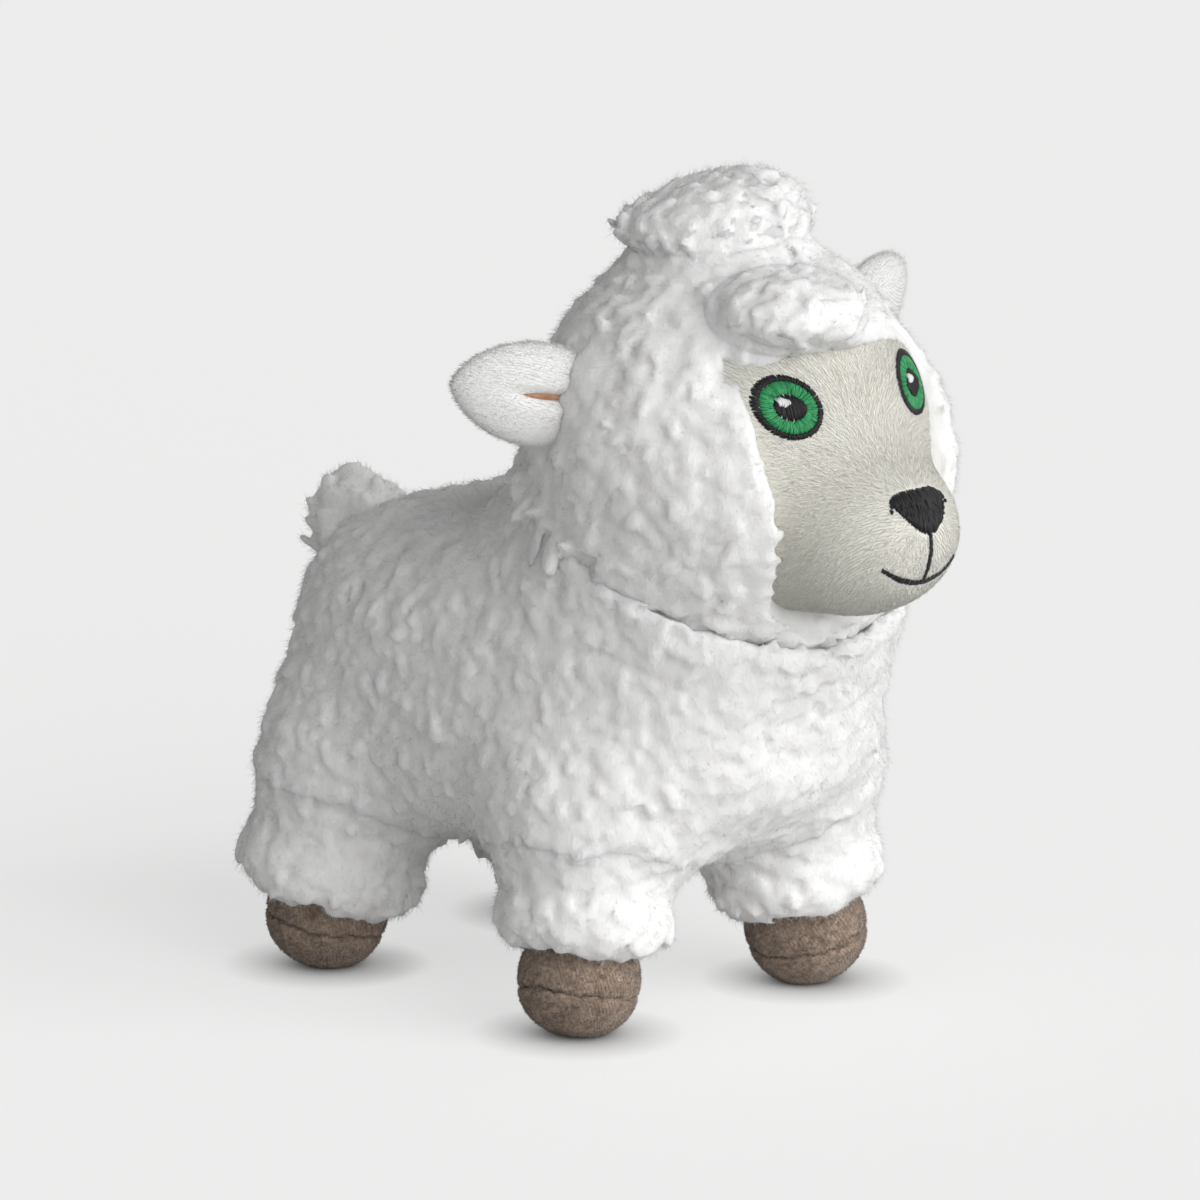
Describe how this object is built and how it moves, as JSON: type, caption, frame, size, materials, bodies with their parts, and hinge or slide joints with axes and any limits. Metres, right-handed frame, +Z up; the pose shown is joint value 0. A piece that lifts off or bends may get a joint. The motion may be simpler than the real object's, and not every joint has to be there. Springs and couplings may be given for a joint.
{
  "type": "plush lamb",
  "caption": "Standing stuffed lamb: curly fleece body, hood, topknot and tail, smooth plush face and ears, embroidered eyes, nose and smile, suede hooves, soft sewn joints.",
  "frame": {"origin": "on the ground, at the middle of the bounding box", "axes": "+Z up, the lamb looks along -Y, its left side is +X"},
  "size_m": [0.1506, 0.2078, 0.2024],
  "materials": {
    "fleece": "curly sherpa pile in clumps",
    "face_plush": "short brushed plush",
    "ear_plush": "short smooth plush",
    "ear_lining": "short smooth plush",
    "hoof_suede": "napped suede cloth",
    "stuffing": "loose white fibre",
    "black_thread": "satin stitch",
    "green_thread": "satin stitch",
    "white_thread": "satin stitch"
  },
  "bodies": {
    "torso": {"body_left_fleece": "fleece", "body_right_fleece": "fleece", "belly_fleece": "fleece", "body_stuffing": "stuffing"},
    "neck": {"neck_stuffing": "stuffing"},
    "head": {"hood_left_fleece": "fleece", "hood_right_fleece": "fleece", "face_plush": "face_plush", "head_stuffing": "stuffing", "forelock_fleece": "fleece", "nose_embroidery": "black_thread", "mouth_embroidery": "black_thread", "right_eye_rim": "black_thread", "right_eye_iris": "green_thread", "right_eye_pupil": "black_thread", "right_eye_glint": "white_thread", "left_eye_rim": "black_thread", "left_eye_iris": "green_thread", "left_eye_pupil": "black_thread", "left_eye_glint": "white_thread"},
    "topknot": {"topknot_fleece": "fleece"},
    "left_ear": {"left_ear_back": "ear_plush", "left_ear_lining": "ear_lining"},
    "right_ear": {"right_ear_back": "ear_plush", "right_ear_lining": "ear_lining"},
    "tail": {"tail_fleece": "fleece"},
    "front_left_leg": {"front_left_leg_fleece": "fleece", "front_left_leg_stuffing": "stuffing", "front_left_hoof_band": "hoof_suede", "front_left_hoof_sole": "hoof_suede"},
    "front_right_leg": {"front_right_leg_fleece": "fleece", "front_right_leg_stuffing": "stuffing", "front_right_hoof_band": "hoof_suede", "front_right_hoof_sole": "hoof_suede"},
    "hind_left_leg": {"hind_left_leg_fleece": "fleece", "hind_left_leg_stuffing": "stuffing", "hind_left_hoof_band": "hoof_suede", "hind_left_hoof_sole": "hoof_suede"},
    "hind_right_leg": {"hind_right_leg_fleece": "fleece", "hind_right_leg_stuffing": "stuffing", "hind_right_hoof_band": "hoof_suede", "hind_right_hoof_sole": "hoof_suede"}
  },
  "joints": [
    {"name": "neck_turn", "type": "hinge", "parent": "torso", "child": "neck", "pos_m": [0, -0.0425, 0.13697], "axis": [0, -0.4384, 0.8988], "range_deg": [-20, 20], "stiffness_Nm_per_rad": 0.2},
    {"name": "head_nod", "type": "hinge", "parent": "neck", "child": "head", "pos_m": [0, -0.0425, 0.13697], "axis": [1, 0, 0], "range_deg": [-12, 12], "stiffness_Nm_per_rad": 0.2},
    {"name": "topknot_flop", "type": "hinge", "parent": "head", "child": "topknot", "pos_m": [0, -0.03263, 0.18343], "axis": [1, 0, 0], "range_deg": [-10, 10], "stiffness_Nm_per_rad": 0.02},
    {"name": "left_ear_fold", "type": "hinge", "parent": "head", "child": "left_ear", "pos_m": [0.04342, -0.02839, 0.15007], "axis": [-0.1361, -0.0289, 0.9903], "range_deg": [-25, 30], "stiffness_Nm_per_rad": 0.01},
    {"name": "right_ear_fold", "type": "hinge", "parent": "head", "child": "right_ear", "pos_m": [-0.04342, -0.02839, 0.15007], "axis": [0.1361, -0.0289, 0.9903], "range_deg": [-30, 25], "stiffness_Nm_per_rad": 0.01},
    {"name": "tail_wag", "type": "hinge", "parent": "torso", "child": "tail", "pos_m": [0, 0.08002, 0.09097], "axis": [0, -0.4067, 0.9135], "range_deg": [-25, 25], "stiffness_Nm_per_rad": 0.01},
    {"name": "front_left_leg_swing", "type": "hinge", "parent": "torso", "child": "front_left_leg", "pos_m": [0.03, -0.0235, 0.04397], "axis": [1, 0, 0], "range_deg": [-15, 15], "stiffness_Nm_per_rad": 0.15},
    {"name": "front_right_leg_swing", "type": "hinge", "parent": "torso", "child": "front_right_leg", "pos_m": [-0.03, -0.0235, 0.04397], "axis": [1, 0, 0], "range_deg": [-15, 15], "stiffness_Nm_per_rad": 0.15},
    {"name": "hind_left_leg_swing", "type": "hinge", "parent": "torso", "child": "hind_left_leg", "pos_m": [0.03, 0.0545, 0.04368], "axis": [1, 0, 0], "range_deg": [-15, 15], "stiffness_Nm_per_rad": 0.15},
    {"name": "hind_right_leg_swing", "type": "hinge", "parent": "torso", "child": "hind_right_leg", "pos_m": [-0.03, 0.0545, 0.04368], "axis": [1, 0, 0], "range_deg": [-15, 15], "stiffness_Nm_per_rad": 0.15}
  ]
}
